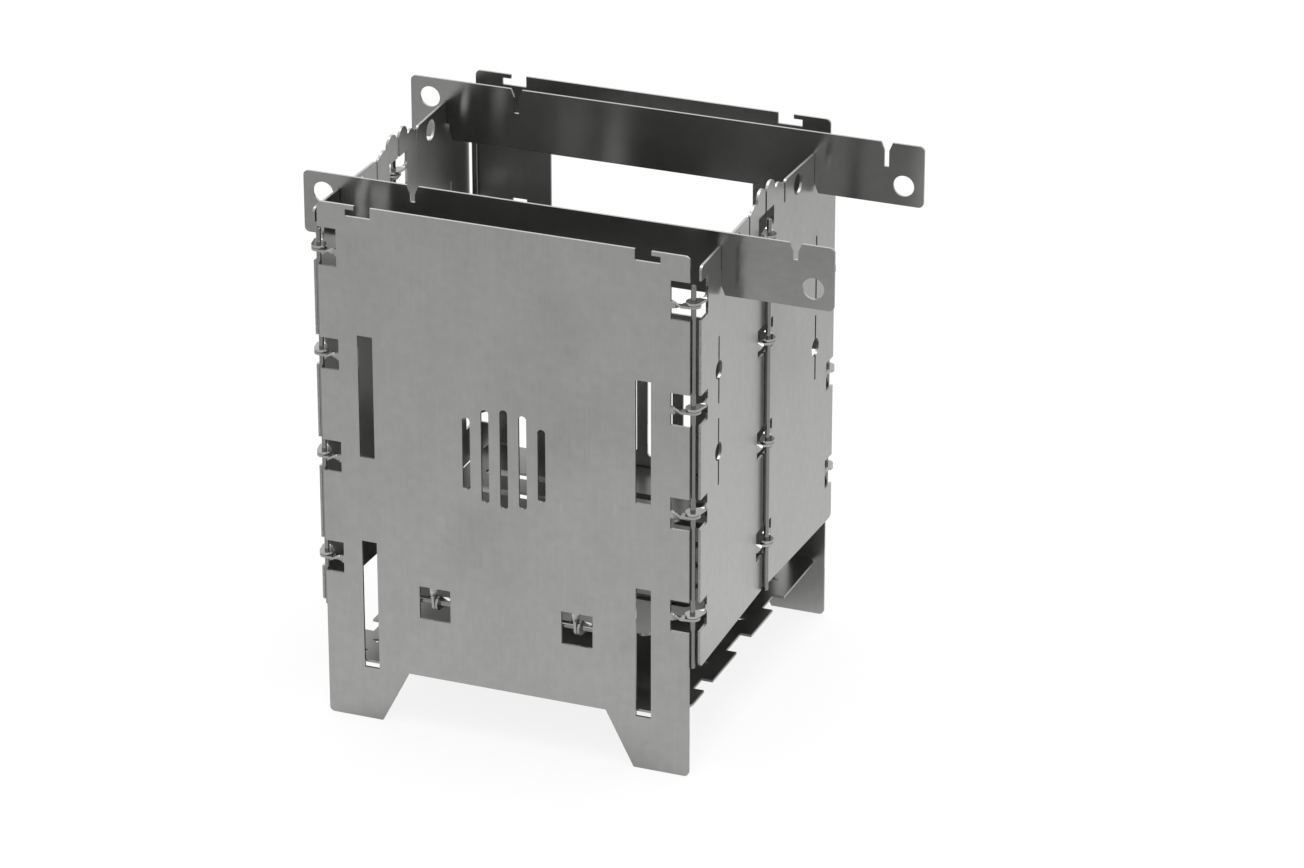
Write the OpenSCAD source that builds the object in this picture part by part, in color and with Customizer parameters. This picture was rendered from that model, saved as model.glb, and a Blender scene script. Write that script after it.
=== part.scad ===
// Folding camping stove cut from thin stainless sheet.
// Two panels stand front and back, and two pairs of leaves fold inward between them.
// Every hinge is a wire through rings that are cut from the sheets and twisted square.
// X runs along the panels, -Y is the front, and z = 0 is the ground under the feet.

/* [Sheet and wire] */
// Thickness of every sheet
sheet_t = 1; // [0.8:0.1:1.2]
// Diameter of the hinge wires
wire_d = 2; // [1.8:0.1:2.2]
// Outer diameter of a hinge ring
ring_d = 5.8; // [5.2:0.1:5.8]
// Radial play of a wire in its rings
ring_play = 0.05; // [0.03:0.01:0.08]
// Gap between two rings on one wire
ring_gap = 0.2; // [0.1:0.05:0.3]

/* [Panels] */
// Width of the front and back panels
panel_w = 150; // [140:1:170]
// Height of the panels, feet included
panel_h = 214; // [205:1:235]
// Depth over the outer faces of both panels
stove_d = 151.1; // [145:0.1:156]
// Corner radius of the panels
panel_r = 2; // [1:0.5:3]
// Height of the arch between the feet
arch_h = 22.3; // [15:0.1:30]
// Width of a foot where the arch ends above it
foot_top_w = 34; // [30:1:44]
// Width of a foot at the ground
foot_w = 23; // [18:1:28]
// From a panel's side to the middle of its column of slots
slot_in = 18.5; // [16:0.5:21]
// Width of a slot
slot_w = 6.2; // [5:0.1:7]
// Lower end of the low slots
low_slot_z = 22; // [18:0.5:24]
// Height of the bridge between a low slot and the high one above it
slot_bridge_h = 35.3; // [25:0.1:45]
// From a panel's top edge down to the high slots
high_slot_drop = 52.4; // [44:0.1:60]
// Length of the high slots
high_slot_h = 50.3; // [40:0.1:60]
// Width of the mouth of a hook notch in the top edge
notch_mouth_w = 6.6; // [5:0.1:8]
// Depth of a hook notch
notch_d = 4.5; // [3.5:0.1:6]
// Undercut of a hook notch toward the side
notch_under = 3.6; // [2:0.1:5]
// Height of the undercut
notch_under_h = 2.8; // [2:0.1:3.2]

/* [Vent] */
// Width of the vent in the middle of the panels
vent_w = 34; // [24:1:44]
// Height of the tallest slit of the vent
vent_h = 41; // [30:1:50]
// From the front panel's top edge down to the middle of its vent
vent_drop = 94; // [84:1:104]
// Height of the middle of the back vent
back_vent_z = 78; // [74:1:82]
// Width of one slit
slit_w = 3.2; // [2.4:0.1:4]
// Number of slits
slit_count = 5; // [3:2:5]

/* [Fuel port] */
// From a panel's side to the fuel port in the back panel
port_side = 32; // [27:1:40]
// Lower edge of the fuel port
port_z = 122; // [115:1:135]
// From the panel's top edge down to the fuel port
port_drop = 20; // [16:1:42]
// Corner radius of the fuel port
port_r = 3; // [1:0.5:6]

/* [Hinges] */
// How far a hinge wire stands outside the edge of a panel
wire_out = 0.55; // [0.4:0.05:0.8]
// From the middle of a panel's sheet to its hinge wire
panel_wire_off = 1.84; // [1.7:0.02:2]
// From a corner wire to the middle of a leaf's sheet
leaf_wire_off = 2.3; // [2.2:0.05:2.5]
// From the middle of a leaf's sheet to the middle wire
mid_wire_off = 1.85; // [1.8:0.05:2]
// Inward lean of each leaf, in degrees
lean = 1.6; // [1.2:0.1:2]
// Height of the lowest hinge station
station_z = 67.2; // [64:0.1:70]
// From a panel's top edge down to the highest station
station_drop = 19.3; // [18:0.1:21]
// Number of stations on a wire
station_count = 4; // [3:1:4]
// From a station down to the lower end of its windows
window_drop = 6.5; // [6:0.1:7]
// Height of a hinge window in a panel
window_h = 13; // [12:0.1:14]
// Height of a hinge window in a leaf
leaf_window_h = 12.2; // [12.2:0.1:13]
// Height of all windows at the highest station
top_window_h = 15.5; // [14:0.1:16]
// Depth of a hinge window from the wire to its inner edge
window_reach = 8.15; // [7.6:0.05:9]
// Height of a ring's tongue where it leaves the sheet
tongue_w = 3; // [2.4:0.1:3.4]
// How far the right pair's middle rings sit below their stations
mid_drop = 0.7; // [0.3:0.1:1]
// How much higher the left pair's middle rings sit than the right pair's
mid_stagger = 3.2; // [2.8:0.1:3.4]

/* [Leaves] */
// Height of a leaf's lower edge
leaf_z = 45.7; // [44:0.1:47]
// From a panel's top edge down to a leaf's upper edge
leaf_drop = 4.6; // [3:0.1:8]
// From the corner wire to a leaf's free edge
leaf_edge = 0.86; // [0.6:0.02:1.2]
// From the middle wire back to a leaf's inner end
mid_edge = 0.8; // [0.6:0.05:1.2]
// Corner radius of a leaf
leaf_r = 2; // [1:0.5:3]
// Width of the cuts in a leaf that take a rail
rail_cut_w = 1.5; // [1.4:0.05:1.7]
// Distance from the corner wire to a keyhole
keyhole_at = 20.4; // [18:0.1:24]
// From a leaf's upper edge down to the middle of its upper keyhole
keyhole_drop = 49; // [46:0.1:52]
// Distance between the two keyholes
keyhole_pitch = 33.4; // [30:0.1:38]
// Length of a keyhole's slit
keyhole_h = 27.4; // [22:0.1:29]
// Width of a keyhole's slit
keyhole_w = 1.3; // [1.2:0.05:1.6]
// Diameter of a keyhole's round middle
keyhole_d = 7.4; // [6:0.1:8]
// Diameter of the hanging hole
hang_d = 8.6; // [7:0.1:9]
// Distance from the corner wire to the hanging hole
hang_at = 40.6; // [36:0.1:44]
// From a leaf's upper edge down to the middle of the hanging hole
hang_drop = 6.2; // [6.2:0.1:8.5]
// Distance from the corner wire to the short slit
short_slit_at = 54.3; // [52:0.1:56]
// Length of the short slit
short_slit_h = 8.9; // [7:0.1:10]
// How far the crest beside the middle wire rises over a leaf's upper edge
crest_h = 5.3; // [3:0.1:6]

/* [Rails] */
// Length of a rail
rail_l = 214; // [205:1:220]
// Height of a rail
rail_h = 25; // [23:0.1:26]
// Distance of a rail from the outer face of the nearest panel
rail_in = 25.4; // [24:0.1:28]
// How far the middle of a rail lies off the middle of the stove
rail_shift = 15; // [13:0.1:16]
// Depth of the slots in one edge of a rail
rail_deep_d = 10; // [9:0.1:11]
// Depth of the slots in its other edge
rail_shallow_d = 6.6; // [6:0.1:9]
// Width of the slots in a rail
rail_slot_w = 2; // [1.9:0.05:2.1]
// Width of the mouth of a rail's slot
rail_mouth_w = 4.8; // [4:0.1:6]
// Depth of the flare of that mouth
rail_flare = 3.4; // [3:0.1:5]
// Diameter of the holes at a rail's ends
rail_hole_d = 8.5; // [7.5:0.1:9.5]
// From a rail's end to the middle of its hole
rail_hole_end = 8.1; // [7:0.1:9]
// From a rail's edge to the middle of its hole
rail_hole_edge = 8; // [7:0.1:9]
// Corner radius of a rail
rail_r = 2; // [1:0.5:3]

/* [Floor plates] */
// Height of the grate's wire
grate_wire_z = 54; // [53:0.1:55]
// Length of the grate's wire
grate_wire_l = 75; // [70:1:90]
// Distance between the middles of the two square windows
lug_pitch = 58.8; // [50:0.1:66]
// Width of a square window
lug_window_w = 12.8; // [11:0.1:14]
// Lower edge of the square windows
lug_window_z = 47.1; // [46.5:0.1:47.5]
// Height of the square windows
lug_window_h = 13.7; // [13.2:0.1:15]
// From the corner wires in to the grate's rear part
grate_rear_in = 5.05; // [4.55:0.1:8.55]
// From the corner wires in to the grate's middle part
grate_mid_in = 8.55; // [8.3:0.05:11.55]
// From the corner wires in to the grate's front
grate_front_in = 19.55; // [15.55:0.5:25.55]
// From the wire to the grate's front edge
grate_front = 6.2; // [6:0.1:6.6]
// Gap between the grate and the back panel
grate_gap = 1; // [0.6:0.1:1.4]
// Height of the middle of the ash plate's sheet
ash_z = 24; // [23:0.1:26]
// From the corner wires in to the ash plate's sides
ash_in = 3.95; // [3.55:0.1:7.55]
// Depth of the notches in the ash plate's sides
ash_notch = 4.5; // [3:0.1:6]
// From the front panel's inner face to the ash plate's front edge
ash_front = 8.5; // [6:0.1:12]
// Gap between the ash plate and the panels
ash_gap = 0.3; // [0.2:0.05:0.5]

/* [Hidden] */

$fn = 48;
// Overrun of every cut past the face it opens
over = 1;

steel = "#8c8c8a";
dark_steel = "#6f6f6d";
bright_steel = "#a9a9a6";

// Places that follow from the sizes above
front_y = -stove_d / 2;
wire_x = panel_w / 2 + wire_out;
wire_y = stove_d / 2 - sheet_t / 2 - panel_wire_off;
window_in = window_reach - wire_out;
slot_x = panel_w / 2 - slot_in;
high_slot_z = panel_h - high_slot_drop - high_slot_h;
low_slot_h = high_slot_z - slot_bridge_h - low_slot_z;
vent_z = panel_h - vent_drop;
port_w = panel_w - 2 * port_side;
port_h = panel_h - port_drop - port_z;
arch_top_x = panel_w / 2 - foot_top_w;
arch_foot_x = panel_w / 2 - foot_w;
bore_d = wire_d + 2 * ring_play;
ring_step = sheet_t + ring_gap;
last_station = panel_h - station_drop;
station_pitch = (last_station - station_z) / (station_count - 1);
stations = [for (i = [0:station_count - 1]) station_z + i * station_pitch];
// Along a leaf, from its corner wire to the middle wire, which stands halfway between the panels
leaf_span = (wire_y - (leaf_wire_off + mid_wire_off) * sin(lean)) / cos(lean);
leaf_end = leaf_span - mid_edge;
leaf_top_z = panel_h - leaf_drop;
leaf_h = leaf_top_z - leaf_z;
keyhole_z = leaf_top_z - keyhole_drop;
hang_z = leaf_top_z - hang_drop;

// Roundness of the vent's outline
vent_round_share = 1.5;

// Twisted tongues
tongue_flat_end_gap = 0.8;
tongue_flat = ring_d / 2 + tongue_flat_end_gap;
tongue_stub = 0.6;
tongue_bite = 0.3;
tongue_thin_share = 0.9;
tongue_slices = 6;
ring_lean_shares = [0.6, 0.8];

// Wires
corner_wire_out = 7.7;
mid_wire_out = 6.7;
wire_below = 0.3;
wire_bottom_z = leaf_z - wire_below;
wire_round = 0.3;

// Crest along the top of a leaf: a hump beside the middle wire, then a lower one toward the corner
crest_r = 4.2;
crest_low_off = 6.3;
crest_at = [mid_edge + crest_r, leaf_span - short_slit_at - crest_low_off];
crest_rise_shares = [1, 0.3];
crest_step = 0.8;
slit_mouth_r = 1.5;

// Rails
rail_seat_gap = 0.1;
rail_y = stove_d / 2 - rail_in;
rail_along = (wire_y - rail_y - leaf_wire_off * sin(lean)) / cos(lean);
leaf_x_at_rail = wire_x + leaf_wire_off / cos(lean) - (wire_y - rail_y) * tan(lean);
leaf_run = sheet_t / cos(lean) + sheet_t * tan(lean);
rail_slot_x = leaf_x_at_rail - (rail_slot_w - leaf_run) / 2 + rail_seat_gap;
rail_cut_d = 9.7;
rail_rest_z = leaf_top_z - rail_cut_d + rail_seat_gap;

// Floor plates
grate_z = grate_wire_z - panel_wire_off;
grate_rear = wire_y + stove_d / 2 - sheet_t - grate_gap;
grate_w = 2 * (wire_x - grate_rear_in);
grate_mid_w = 2 * (wire_x - grate_mid_in);
grate_front_w = 2 * (wire_x - grate_front_in);
grate_steps = [26, 90];
grate_r = 5;
air_slot_w = 5;
air_side = 6;
air_gap = 10;
air_slot_l = (grate_mid_w - 2 * air_side - 2 * air_gap) / 3;
air_rows = 6;
air_first = 36;
air_last_in = 25.8;
air_row_pitch = (grate_rear - air_last_in - air_first) / (air_rows - 1);
air_column_pitch = air_slot_l + air_gap;
ash_w = 2 * (wire_x - ash_in);
ash_lobe_w = 12;
ash_lobe_r = 4;
ash_rear_y = stove_d / 2 - sheet_t - ash_gap;
ash_front_y = front_y + sheet_t + ash_front;
ash_lobe_y = front_y + sheet_t + ash_gap;
ash_notch_shares = [[0.11, 0.175], [0.36, 0.474], [0.645, 0.737]];
ash_hole_d = 4;
ash_hole_shares = [0.06, 0.27, 0.56, 0.83];
ash_hole_in = 9;

// Outlines

module round_rect(w, h, r) {
    translate([r, 0]) square([w - 2 * r, h]);
    translate([0, r]) square([w, h - 2 * r]);
    for (x = [r, w - r], y = [r, h - r])
        translate([x, y]) circle(r = r);
}

// Slit with round ends, standing up, centred
module round_slit(w, h) {
    square([w, h - w], center = true);
    for (s = [-1, 1])
        translate([0, s * (h - w) / 2]) circle(d = w);
}

// Plain vent of upright slits under a round envelope
module vent() {
    pitch = (vent_w - slit_w) / (slit_count - 1);
    for (i = [0:slit_count - 1]) {
        x = i * pitch - (vent_w - slit_w) / 2;
        translate([x, 0]) round_slit(slit_w, vent_h * sqrt(1 - pow(vent_round_share * x / vent_w, 2)));
    }
}

// Hook notch at the right end of the top edge
module hook_notch() {
    translate([slot_x - notch_mouth_w / 2, panel_h - notch_d])
        square([notch_mouth_w, notch_d + over]);
    translate([slot_x, panel_h - notch_d])
        square([notch_mouth_w / 2 + notch_under, notch_under_h]);
}

module panel_outline() {
    difference() {
        translate([-panel_w / 2, 0]) round_rect(panel_w, panel_h, panel_r);
        polygon([
            [-arch_foot_x - over, -over], [arch_foot_x + over, -over],
            [arch_top_x, arch_h], [-arch_top_x, arch_h]
        ]);
        for (s = [0, 1]) mirror([s, 0]) {
            translate([slot_x - slot_w / 2, low_slot_z]) square([slot_w, low_slot_h]);
            translate([slot_x - slot_w / 2, high_slot_z]) square([slot_w, high_slot_h]);
            hook_notch();
            for (i = [0:station_count - 1])
                translate([panel_w / 2 - window_in, stations[i] - window_drop])
                    square([window_in + over, window_height(i, window_h)]);
        }
    }
}

function window_height(i, h) = i == station_count - 1 ? top_window_h : h;

// Hinge tongue round a wire at the origin that runs along Z.
// Its sheet lies off to +X and begins at y = root; the twist turns it flat at the ring.
module tongue(off, root) {
    twist_l = root - tongue_stub - tongue_flat;
    translate([0, 0, -sheet_t / 2]) linear_extrude(sheet_t) difference() {
        union() {
            circle(d = ring_d);
            polygon([
                [ring_d / 2, 0],
                [off + tongue_w / 2, tongue_flat],
                [off + tongue_w / 2, tongue_flat + tongue_bite],
                [off - tongue_w / 2, tongue_flat + tongue_bite],
                [off - tongue_w / 2, tongue_flat],
                [-ring_lean_shares[0] * ring_d / 2, ring_lean_shares[1] * ring_d / 2]
            ]);
        }
        circle(d = bore_d);
    }
    translate([off, tongue_flat, 0]) rotate([-90, 0, 0])
        linear_extrude(twist_l + tongue_bite, twist = 90, slices = tongue_slices, $fn = 4)
            square([tongue_w, sheet_t * tongue_thin_share], center = true);
    translate([off - sheet_t / 2, root - tongue_stub, -tongue_w / 2])
        cube([sheet_t, tongue_stub + over, tongue_w]);
}

// Front or back panel, drawn at the front
module panel(vent_height, port) {
    translate([0, front_y + sheet_t, 0]) rotate([90, 0, 0]) linear_extrude(sheet_t) difference() {
        panel_outline();
        translate([0, vent_height]) vent();
        if (port) translate([-port_w / 2, port_z]) round_rect(port_w, port_h, port_r);
        if (!port) for (s = [-1, 1])
            translate([s * lug_pitch / 2 - lug_window_w / 2, lug_window_z])
                square([lug_window_w, lug_window_h]);
    }
    for (s = [0, 1], z = stations) mirror([s, 0, 0])
        translate([wire_x, -wire_y, z - ring_step / 2]) rotate([0, 0, 90])
            mirror([1, 0, 0]) tongue(panel_wire_off, window_reach);
}

module front_panel() {
    color(steel) {
        panel(vent_z, false);
        for (s = [-1, 1])
            translate([s * lug_pitch / 2 - ring_step / 2, -wire_y, grate_wire_z])
                rotate([90, 0, -90])
                    tongue(panel_wire_off, lug_window_z + lug_window_h - grate_wire_z);
    }
}

module back_panel() {
    color(steel) mirror([0, 1, 0]) panel(back_vent_z, true);
}

// Leaf

module keyhole() {
    square([keyhole_w, keyhole_h], center = true);
    circle(d = keyhole_d);
}

module leaf_outline() {
    difference() {
        union() {
            translate([leaf_edge, leaf_z]) round_rect(leaf_end - leaf_edge, leaf_h, leaf_r);
            for (i = [0:len(crest_at) - 1])
                translate([leaf_span - crest_at[i], leaf_top_z + crest_h * crest_rise_shares[i] - crest_r])
                    circle(r = crest_r);
            translate([leaf_span - crest_at[1], leaf_top_z - leaf_r])
                square([crest_at[1] - mid_edge, leaf_r + crest_step]);
        }
        for (i = [0:station_count - 1], x = [-over, leaf_span - window_reach])
            translate([x, stations[i] - window_drop])
                square([window_reach + over, window_height(i, leaf_window_h)]);
        translate([rail_along - rail_cut_w / 2, leaf_top_z - rail_cut_d])
            square([rail_cut_w, rail_cut_d + over]);
        for (i = [0, 1])
            translate([keyhole_at, keyhole_z - i * keyhole_pitch]) keyhole();
        translate([hang_at, hang_z]) circle(d = hang_d);
        translate([short_slit_at - keyhole_w / 2, leaf_top_z - short_slit_h])
            square([keyhole_w, short_slit_h + over]);
        translate([short_slit_at, leaf_top_z]) slit_mouth();
    }
}

// Rounds off the two corners of the short slit's mouth
module slit_mouth() {
    out = keyhole_w / 2 + slit_mouth_r;
    difference() {
        translate([-out, -slit_mouth_r]) square([2 * out, slit_mouth_r + over]);
        for (s = [-1, 1])
            translate([s * out, -slit_mouth_r]) circle(r = slit_mouth_r);
    }
}

// Leaf with the corner wire at the origin. mid_step lifts its middle rings.
module leaf(mid_step) {
    translate([leaf_wire_off - sheet_t / 2, 0, 0]) rotate([90, 0, 90])
        linear_extrude(sheet_t) leaf_outline();
    for (z = stations) {
        translate([0, 0, z + ring_step / 2]) tongue(leaf_wire_off, window_reach);
        translate([leaf_wire_off + mid_wire_off, leaf_span, z + mid_step])
            rotate([0, 0, 180]) tongue(mid_wire_off, window_reach);
    }
}

// Puts a leaf, or what goes with it, on the corner wire of its quarter
module at_corner(left, rear) {
    mirror([left ? 1 : 0, 0, 0]) mirror([0, rear ? 1 : 0, 0])
        translate([wire_x, -wire_y, 0]) rotate([0, 0, lean]) children();
}

module right_front_leaf() {
    color(steel) at_corner(false, false) leaf(-mid_drop - ring_step / 2);
}

module right_rear_leaf() {
    color(steel) at_corner(false, true) leaf(-mid_drop + ring_step / 2);
}

module left_front_leaf() {
    color(steel) at_corner(true, false) leaf(mid_stagger - mid_drop - ring_step / 2);
}

module left_rear_leaf() {
    color(steel) at_corner(true, true) leaf(mid_stagger - mid_drop + ring_step / 2);
}

// Wires

// Wire of a length from z = 0 up, with eased ends
module wire(l) {
    translate([0, 0, wire_round]) cylinder(d = wire_d, h = l - 2 * wire_round);
    cylinder(d1 = wire_d - 2 * wire_round, d2 = wire_d, h = wire_round);
    translate([0, 0, l - wire_round]) cylinder(d1 = wire_d, d2 = wire_d - 2 * wire_round, h = wire_round);
}

// Standing wire that ends so far above the highest station
module standing_wire(top_out) {
    color(bright_steel) translate([0, 0, wire_bottom_z])
        wire(last_station + top_out - wire_bottom_z);
}

module front_right_pin() {
    translate([wire_x, -wire_y, 0]) standing_wire(corner_wire_out);
}

module front_left_pin() {
    translate([-wire_x, -wire_y, 0]) standing_wire(corner_wire_out);
}

module rear_right_pin() {
    translate([wire_x, wire_y, 0]) standing_wire(corner_wire_out);
}

module rear_left_pin() {
    translate([-wire_x, wire_y, 0]) standing_wire(corner_wire_out);
}

module right_mid_pin() {
    at_corner(false, false) translate([leaf_wire_off + mid_wire_off, leaf_span, 0])
        standing_wire(mid_wire_out);
}

module left_mid_pin() {
    at_corner(true, false) translate([leaf_wire_off + mid_wire_off, leaf_span, 0])
        translate([0, 0, mid_stagger]) standing_wire(mid_wire_out);
}

module grate_pin() {
    color(bright_steel) translate([-grate_wire_l / 2, -wire_y, grate_wire_z]) rotate([0, 90, 0])
        wire(grate_wire_l);
}

// Floor plates

module air_slots() {
    for (i = [0:air_rows - 1], s = [-1, 0, 1])
        translate([s * air_column_pitch, air_first + i * air_row_pitch])
            rotate([0, 0, 90]) round_slit(air_slot_w, air_slot_l);
}

module grate_outline() {
    difference() {
        union() {
            translate([-grate_front_w / 2, grate_front])
                round_rect(grate_front_w, grate_rear - grate_front, grate_r);
            translate([-grate_mid_w / 2, grate_steps[0]])
                round_rect(grate_mid_w, grate_rear - grate_steps[0] - grate_r, grate_r);
            translate([-grate_w / 2, grate_steps[1]])
                round_rect(grate_w, grate_rear - grate_steps[1], grate_r);
        }
        for (s = [-1, 1])
            translate([s * lug_pitch / 2 - lug_window_w / 2, grate_front - over])
                square([lug_window_w, window_reach - grate_front + over]);
        air_slots();
    }
}

module fire_grate() {
    color(dark_steel) translate([0, -wire_y, grate_wire_z]) {
        translate([0, 0, -panel_wire_off - sheet_t / 2]) linear_extrude(sheet_t) grate_outline();
        for (s = [-1, 1])
            translate([s * lug_pitch / 2 + ring_step / 2, 0, 0]) rotate([0, 90, 0])
                tongue(panel_wire_off, window_reach);
    }
}

module ash_outline() {
    l = ash_rear_y - ash_front_y;
    difference() {
        union() {
            translate([-ash_w / 2, ash_front_y]) round_rect(ash_w, l, ash_lobe_r);
            for (s = [-1, 1])
                translate([s * slot_x - ash_lobe_w / 2, ash_lobe_y])
                    round_rect(ash_lobe_w, ash_front + 2 * ash_lobe_r, ash_lobe_r);
        }
        for (s = [0, 1]) mirror([s, 0]) {
            for (n = ash_notch_shares)
                translate([ash_w / 2 - ash_notch, ash_front_y + n[0] * l])
                    square([ash_notch + over, (n[1] - n[0]) * l]);
            for (n = ash_hole_shares)
                translate([ash_w / 2 - ash_hole_in, ash_front_y + n * l]) circle(d = ash_hole_d, $fn = 3);
        }
    }
}

module ash_plate() {
    color(dark_steel) translate([0, 0, ash_z - sheet_t / 2]) linear_extrude(sheet_t) ash_outline();
}

// Rails

// Slot of a rail with a flared mouth, opening downward at the origin
module rail_slot(d) {
    polygon([
        [-rail_mouth_w / 2, -over], [rail_mouth_w / 2, -over], [rail_mouth_w / 2, 0],
        [rail_slot_w / 2, rail_flare], [rail_slot_w / 2, d],
        [-rail_slot_w / 2, d], [-rail_slot_w / 2, rail_flare], [-rail_mouth_w / 2, 0]
    ]);
}

// The slots of one edge, drawn as the lower one, and the hole at the right end
module rail_cuts(d) {
    for (x = [-rail_slot_x, rail_slot_x])
        translate([x - rail_shift, -rail_h / 2]) rail_slot(d);
    translate([rail_l / 2 - rail_hole_end, rail_hole_edge - rail_h / 2]) circle(d = rail_hole_d);
}

// Rail with its deep slots down
module rail() {
    rotate([90, 0, 0]) translate([0, 0, -sheet_t / 2]) linear_extrude(sheet_t) difference() {
        translate([-rail_l / 2, -rail_h / 2]) round_rect(rail_l, rail_h, rail_r);
        rail_cuts(rail_deep_d);
        rotate([0, 0, 180]) rail_cuts(rail_shallow_d);
    }
}

module front_rail() {
    color(dark_steel) translate([rail_shift, -rail_y, rail_rest_z - rail_deep_d + rail_h / 2]) rail();
}

// The rear rail is the same one turned end for end, so its shallow slots are down
module rear_rail() {
    color(dark_steel) translate([rail_shift, rail_y, rail_rest_z - rail_shallow_d + rail_h / 2])
        rotate([0, 180, 0]) rail();
}

front_panel();
back_panel();
right_front_leaf();
right_rear_leaf();
left_front_leaf();
left_rear_leaf();
front_right_pin();
front_left_pin();
rear_right_pin();
rear_left_pin();
right_mid_pin();
left_mid_pin();
grate_pin();
fire_grate();
ash_plate();
front_rail();
rear_rail();
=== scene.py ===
import math

import bpy
from mathutils import Matrix, Vector

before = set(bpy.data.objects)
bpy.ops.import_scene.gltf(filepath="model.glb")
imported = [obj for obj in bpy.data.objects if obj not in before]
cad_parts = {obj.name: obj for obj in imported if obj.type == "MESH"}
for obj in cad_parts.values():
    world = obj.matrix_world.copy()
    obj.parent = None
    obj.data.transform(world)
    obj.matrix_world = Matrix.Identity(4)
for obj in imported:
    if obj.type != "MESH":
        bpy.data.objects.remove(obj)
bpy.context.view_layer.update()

# Front and back panels.
# Two cut sheets of 1 mm stainless steel, cold rolled and lightly ground upright.
# Their feet carry the stove. The rings of the hinges are cut from the same sheets and twisted.

MM = 0.001
# Rings stand at even steps up the sheets
LOWEST_RING = 67.2 * MM
RING_PITCH = 42.5 * MM


class Shade:
    """A value that varies over a finish. It takes part in sums as a number does."""

    def __init__(self, finish, socket):
        self.finish = finish
        self.socket = socket

    def sum_of(self, operation, *values):
        sockets = dict(enumerate(values))
        return self.finish.node("ShaderNodeMath", {"operation": operation}, sockets)

    def __add__(self, other):
        return self.sum_of("ADD", self, other)

    def __radd__(self, other):
        return self.sum_of("ADD", other, self)

    def __sub__(self, other):
        return self.sum_of("SUBTRACT", self, other)

    def __rsub__(self, other):
        return self.sum_of("SUBTRACT", other, self)

    def __mul__(self, other):
        return self.sum_of("MULTIPLY", self, other)

    def __rmul__(self, other):
        return self.sum_of("MULTIPLY", other, self)

    def __lt__(self, other):
        return self.sum_of("LESS_THAN", self, other)

    def __gt__(self, other):
        return self.sum_of("GREATER_THAN", self, other)

    def __abs__(self):
        return self.sum_of("ABSOLUTE", self)

    def fraction(self):
        return self.sum_of("FRACT", self)

    def capped(self):
        """The value held between 0 and 1."""
        return self.finish.node("ShaderNodeClamp", {}, {0: self})


class Finish:
    """A material that is built up node by node."""

    def __init__(self, name):
        self.material = bpy.data.materials.new(name)
        self.material.use_nodes = True
        self.tree = self.material.node_tree
        self.tree.nodes.clear()

    def node(self, kind, settings, sockets, out=0):
        """One node, with its settings made first, then its sockets' values and links."""
        made = self.tree.nodes.new(kind)
        for name, value in settings.items():
            setattr(made, name, value)
        for key, value in sockets.items():
            if isinstance(value, Shade):
                self.tree.links.new(value.socket, made.inputs[key])
            else:
                made.inputs[key].default_value = value
        return Shade(self, made.outputs[out])

    def place(self, out="Object"):
        return self.node("ShaderNodeTexCoord", {}, {}, out)

    def along_axis(self, place, axis):
        """One of the three numbers of a place or a direction."""
        return self.node("ShaderNodeSeparateXYZ", {}, {0: place}, axis)

    def stretched(self, scales, shift=(0.0, 0.0, 0.0)):
        sockets = {"Vector": self.place(), "Scale": scales, "Location": shift}
        return self.node("ShaderNodeMapping", {}, sockets)

    def noise(self, scales, detail=2.0, shift=(0.0, 0.0, 0.0)):
        sockets = {"Vector": self.stretched(scales, shift), "Scale": 1.0, "Detail": detail}
        return self.node("ShaderNodeTexNoise", {}, sockets)

    def blend(self, share, first, second):
        sockets = {0: share, 6: first, 7: second}
        return self.node("ShaderNodeMix", {"data_type": "RGBA"}, sockets, 2)

    def bump(self, height, strength, depth):
        sockets = {"Height": height, "Strength": strength, "Distance": depth}
        return self.node("ShaderNodeBump", {}, sockets)

    def metal(self, sockets):
        self.surface(self.node("ShaderNodeBsdfPrincipled", {}, {"Metallic": 1.0, **sockets}))

    def surface(self, shader):
        end = self.tree.nodes.new("ShaderNodeOutputMaterial")
        self.tree.links.new(shader.socket, end.inputs["Surface"])


def grey(level):
    """A steel grey of that brightness, a touch warm."""
    return (level, level, level * 0.975, 1.0)


def marks(across, along, grain):
    """Noise scales for marks drawn out along one axis: how many a metre holds each way."""
    return tuple(along if axis == grain else across for axis in "XYZ")


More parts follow.
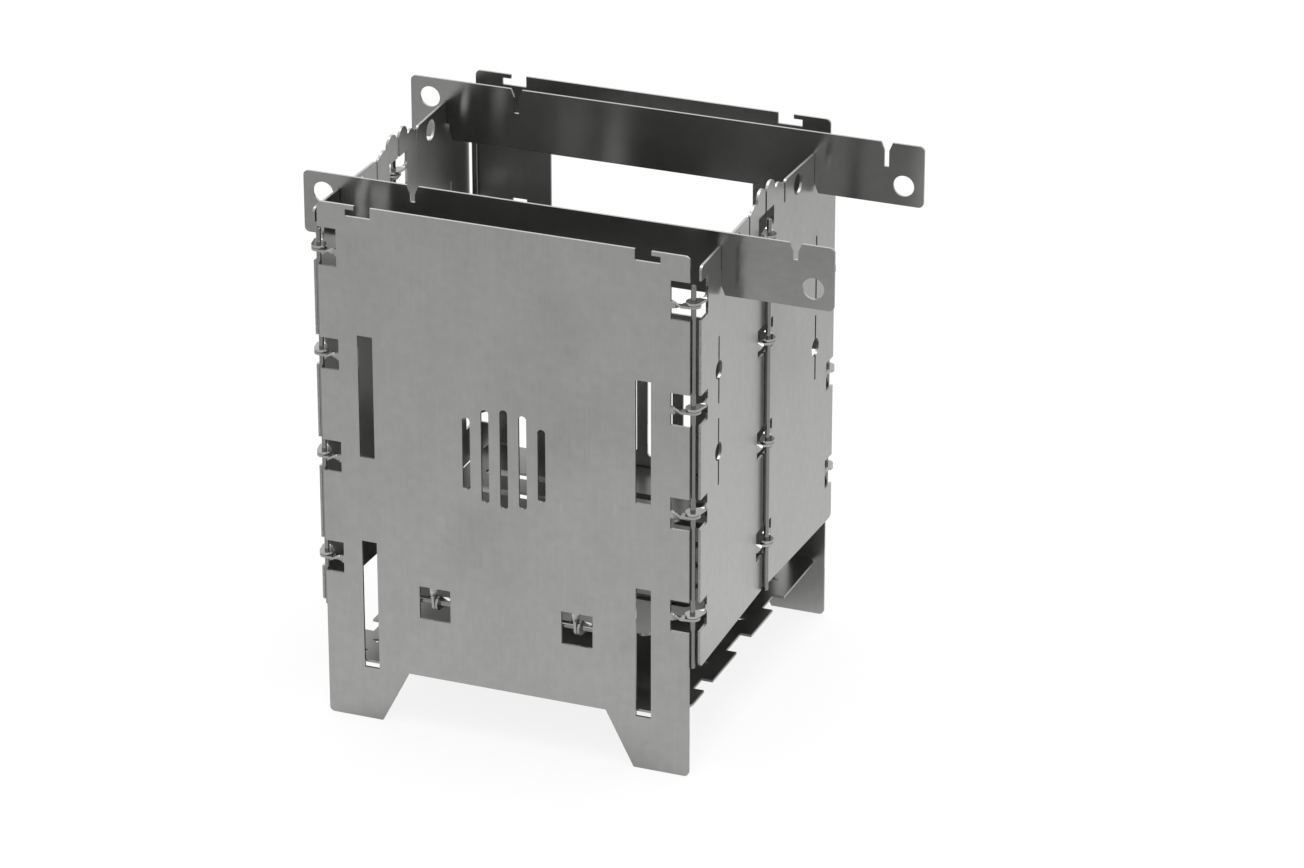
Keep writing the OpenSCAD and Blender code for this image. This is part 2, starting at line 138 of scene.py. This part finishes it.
def sheet_steel(name, grain, across, tone, sheen, smear, ringed=False):
    """Sheet ground along the grain axis. Its faces look along the across axis."""
    finish = Finish(name)
    # The wider patterns are shifted, so that none lines up with another
    lines = finish.noise(marks(2600.0, 90.0, grain), 3.0)
    bands = finish.noise(marks(420.0, 9.0, grain), 2.0, (3.1, 1.7, 0.4))
    cloud = finish.noise((38.0, 38.0, 30.0), 4.0, (0.7, 2.9, 5.3))
    speck = finish.noise((270.0, 270.0, 270.0), 3.0)
    # Soft smudges where the sheet was handled: the peaks of a wide pattern
    patches = finish.noise((17.0, 17.0, 14.0), 5.0, (8.2, 0.6, 2.4))
    peak_from, steepness = 0.54, 5.0
    smudge = ((patches - peak_from) * steepness).capped()

    # The faces look along one axis only, so all else is a cut edge or a twisted tongue
    facing = finish.along_axis(finish.place("Normal"), "XYZ".index(across))
    upward = finish.along_axis(finish.place("Normal"), "Z")
    least_facing = 0.8
    edge = abs(facing) < least_facing
    polish = 0.0
    if ringed:
        # At the height of a ring it is the tongue: the sheet's own face twisted round,
        # and rubbed bright by the wire
        height_at = finish.along_axis(finish.place(), "Z")
        steps_up = (height_at - LOWEST_RING) * (1.0 / RING_PITCH) + 0.5
        off_ring = steps_up.fraction() - 0.5
        tongue_reach = 0.1
        tongue = edge * (abs(off_ring) < tongue_reach)
        edge = edge - tongue
        polish = tongue * 0.16

    grinding = (lines - 0.5) * 0.45 + (bands - 0.5) * 0.2
    mottle = (cloud - 0.5) * 0.7 + (speck - 0.5) * 0.6
    worn = smudge * -0.3 + grinding + mottle
    spread = 0.14
    darkest, lightest = grey(tone * (1.0 - spread)), grey(tone * (1.0 + spread))
    face = finish.blend((worn + 0.5).capped(), darkest, lightest)

    # A jet cuts the edges: short lines run through the sheet's thickness.
    # They stay dull, but those that look up get a painted highlight, lighter the more they face
    # up.
    cut = finish.noise(marks(1500.0, 60.0, across), 2.0)
    painted_top_highlight = (upward * 1.6 - 0.5).capped()
    # Edge colour: the jet's lines, plus a painted highlight on the upward-facing edges
    cut_lines_and_highlight = finish.blend((painted_top_highlight * 0.55 + cut * 0.45).capped(), grey(0.20), grey(0.66))

    roughness = sheen + (cloud - 0.5) * 0.10 + (lines - 0.5) * 0.08
    height = lines * (1.0 - edge) + cut * edge * 1.6 + cloud * 0.3
    finish.metal({
        "Base Color": finish.blend(edge, face, cut_lines_and_highlight),
        "Roughness": roughness + edge * 0.04 - polish,
        "Anisotropic": smear,
        "Anisotropic Rotation": 0.25 if grain == "X" else 0.0,
        "Normal": finish.bump(height, 0.35, 0.02 * MM),
    })
    return finish.material


def give(material, nodes):
    """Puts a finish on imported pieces, whose shapes stay as they are."""
    for name in nodes:
        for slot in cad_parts[name].material_slots:
            slot.material = material


give(
    sheet_steel("panel_steel", "Z", "Y", tone=0.36, sheen=0.34, smear=0.35, ringed=True),
    ["front_panel", "back_panel"],
)

# Leaves.
# Four cut sheets in two pairs fold inward between the panels. They are the same ground sheet.
# Each pair hinges on a middle wire, and each leaf on the wire of its corner.

give(
    # Same steel as the panels, but set to a lighter tone: painted light that makes the leaves
    # brighter than the panels
    sheet_steel("leaf_steel_painted_lighter", "Z", "X", tone=0.40, sheen=0.32, smear=0.35, ringed=True),
    ["right_front_leaf", "right_rear_leaf", "left_front_leaf", "left_rear_leaf"],
)

# Hinge wires.
# Drawn stainless wire, 2 mm thick, pushed through the rings and eased at the ends.
# It has darkened a little, with faint lines from the drawing die.

drawn_wire = Finish("drawn_wire")
die_lines = drawn_wire.noise(marks(1500.0, 30.0, "Z"), 2.0)
haze = drawn_wire.noise((120.0, 120.0, 120.0), 3.0)
streaks = (die_lines * 0.6 + haze * 0.4).capped()
drawn_wire.metal({
    "Base Color": drawn_wire.blend(streaks, grey(0.15), grey(0.28)),
    "Roughness": 0.07 + haze * 0.08,
    "Normal": drawn_wire.bump(die_lines, 0.25, 0.01 * MM),
})
give(drawn_wire.material, [
    "front_right_pin", "front_left_pin", "rear_right_pin", "rear_left_pin",
    "right_mid_pin", "left_mid_pin", "grate_pin",
])

# Fire grate and ash plate.
# Two cut sheets close the chamber below. The grate turns on its own wire behind the front panel.
# The ash plate lies loose under it. Both are ground from front to back.

give(
    sheet_steel("plate_steel", "Y", "Z", tone=0.26, sheen=0.30, smear=0.35),
    ["fire_grate", "ash_plate"],
)

# Rails.
# Two cut strips sit in the leaves' slots and carry a pot. They are ground along their length,
# and the grinding smears what they mirror into upright streaks.

give(
    sheet_steel("rail_steel", "X", "Y", tone=0.26, sheen=0.20, smear=0.9),
    ["front_rail", "rear_rail"],
)

# Floor.
# A plain white sweep, not part of the stove. The eye sees it white, and it keeps a soft shadow.
# In the metal it shows a painted pool of light, white near the stove and dimmer further off, and
# a painted shadow under the plates.

floor_half = 4.0
floor_mesh = bpy.data.meshes.new("floor")
corners = ((-1, -1), (1, -1), (1, 1), (-1, 1))
floor_mesh.from_pydata(
    [(x * floor_half, y * floor_half, 0.0) for x, y in corners], [], [(0, 1, 2, 3)]
)
floor = bpy.data.objects.new("floor", floor_mesh)
bpy.context.scene.collection.objects.link(floor)

white = Finish("white_floor")


def pool(reach):
    """1 under the middle of the stove, falling evenly to 0 at that reach."""
    place = white.stretched((1.0 / reach, 1.0 / reach, 1.0 / reach))
    return white.node("ShaderNodeTexGradient", {"gradient_type": "SPHERICAL"}, {0: place}, 1)


def ray_is(kind):
    """1 for a ray of that kind, 0 for any other."""
    return white.node("ShaderNodeLightPath", {}, {}, kind)


far_glow = 0.71
painted_near_light = 0.38
brightest = far_glow + painted_near_light
# A painted shadow under the plates and a painted pool of light, seen only by mirrored rays
shade = (pool(0.111) * 3.0).capped() * 0.66
mirrored = (ray_is("Is Glossy Ray") + ray_is("Is Transmission Ray")).capped()
eye_sees = ray_is("Is Camera Ray")
level = eye_sees + mirrored * (far_glow + pool(0.625) * painted_near_light - shade)
matt = white.node("ShaderNodeBsdfDiffuse", {}, {"Color": (0.86, 0.86, 0.86, 1.0)})
full_glow = white.node("ShaderNodeEmission", {}, {"Strength": brightest})
no_glow = white.node("ShaderNodeEmission", {}, {"Strength": 0.0})
level_share = level * (1.0 / brightest)
glow = white.node("ShaderNodeMixShader", {}, {0: level_share, 1: no_glow, 2: full_glow})
glow_share = (eye_sees + mirrored).capped() * 0.85
white.surface(white.node("ShaderNodeMixShader", {}, {0: glow_share, 1: matt, 2: glow}))
floor_mesh.materials.append(white.material)

# Light.
# A white room, and one large soft lamp overhead.

room = bpy.data.worlds.new("studio")
bpy.context.scene.world = room
room.use_nodes = True
walls = room.node_tree.nodes["Background"].inputs
walls["Color"].default_value = (1.0, 1.0, 1.0, 1.0)
walls["Strength"].default_value = 1.0

lamp = bpy.data.lights.new("overhead", "AREA")
lamp.shape = "SQUARE"
lamp.size = 1.3
lamp.energy = 18.0
overhead = bpy.data.objects.new("overhead", lamp)
overhead.location = (0.1, 0.1, 1.7)
aim = Vector((0.0, 0.0, 0.1)) - overhead.location
overhead.rotation_euler = aim.to_track_quat("-Z", "Y").to_euler()
bpy.context.scene.collection.objects.link(overhead)

# Camera.
# A long lens looks down on the front right corner, as in the photograph.
# It stands off along its line of sight, then a little aside and down to frame the stove.

turn = math.radians(21.663)
rise = math.radians(24.354)
back = Vector((math.sin(turn) * math.cos(rise), -math.cos(turn) * math.cos(rise), math.sin(rise)))
right = Vector((math.cos(turn), math.sin(turn), 0.0))
up = back.cross(right)
look_at = Vector((0.0, -0.50, 106.97))
stand_off, aside, lowered = 2092.94, 28.1, 7.07

lens = bpy.data.cameras.new("camera")
lens.sensor_width = 36.0
lens.lens = 148.49
lens.clip_start = 0.05
camera = bpy.data.objects.new("camera", lens)
camera.matrix_world = Matrix((right, up, back)).transposed().to_4x4()
camera.location = (look_at + back * stand_off + right * aside - up * lowered) * MM
bpy.context.scene.collection.objects.link(camera)
bpy.context.scene.camera = camera
bpy.context.scene.view_settings.view_transform = "Standard"

bpy.context.view_layer.update()
